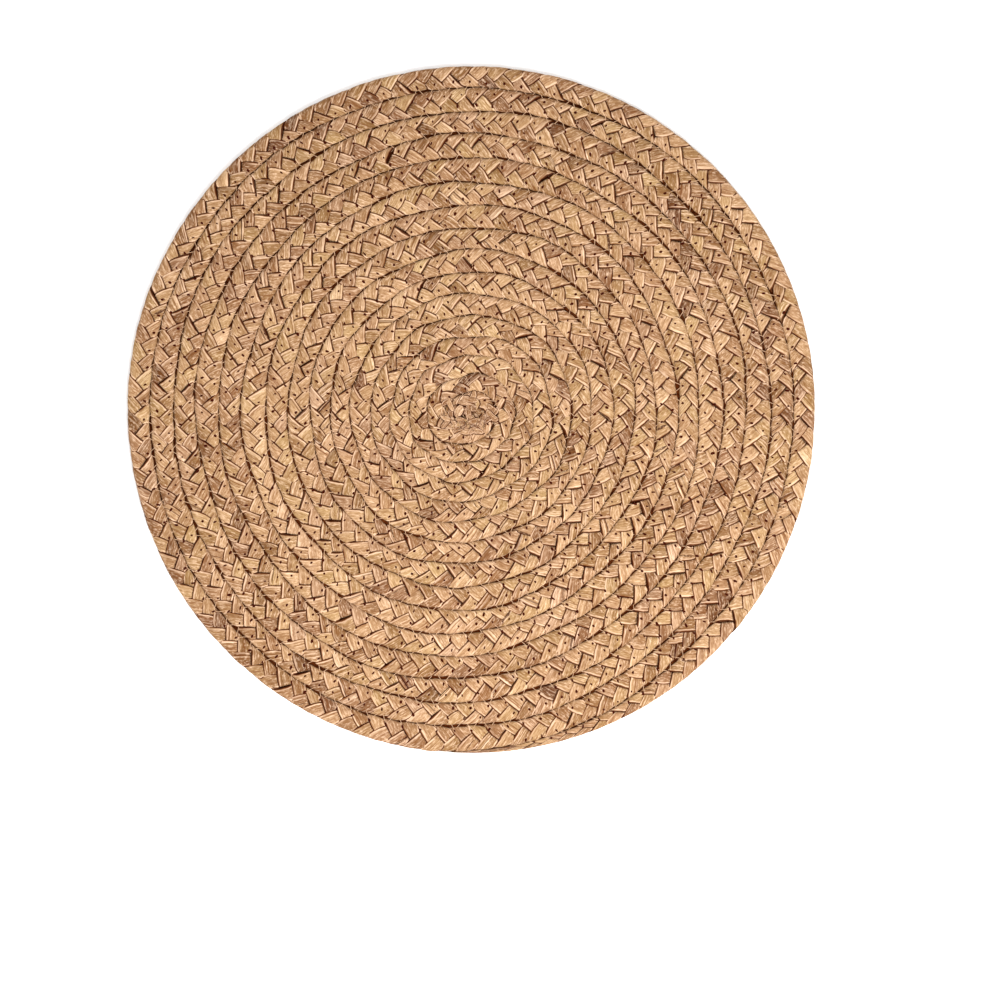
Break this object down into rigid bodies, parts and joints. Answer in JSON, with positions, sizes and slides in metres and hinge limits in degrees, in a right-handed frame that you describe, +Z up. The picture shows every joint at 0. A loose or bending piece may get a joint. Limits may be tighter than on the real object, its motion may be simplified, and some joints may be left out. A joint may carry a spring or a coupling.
{
  "type": "round water hyacinth placemat",
  "caption": "Round placemat of flat plaited water hyacinth, wound into a spiral from the middle and sewn row to row. It lies flat on a table under a plate or a hot dish.",
  "frame": {"origin": "middle of the underside, where the mat rests on the table", "axes": "+Z up through the mat, out of its upper face; +X to the right and +Y away from a person who sits at it; the plait winds clockwise outwards as seen from +Z and its end is sewn in at -Y"},
  "size_m": [0.35, 0.35, 0.006],
  "materials": {
    "plait": "matt dried plant fibre with a faint sheen along the strands"
  },
  "bodies": {
    "root": {"placemat": "plait"}
  },
  "joints": []
}
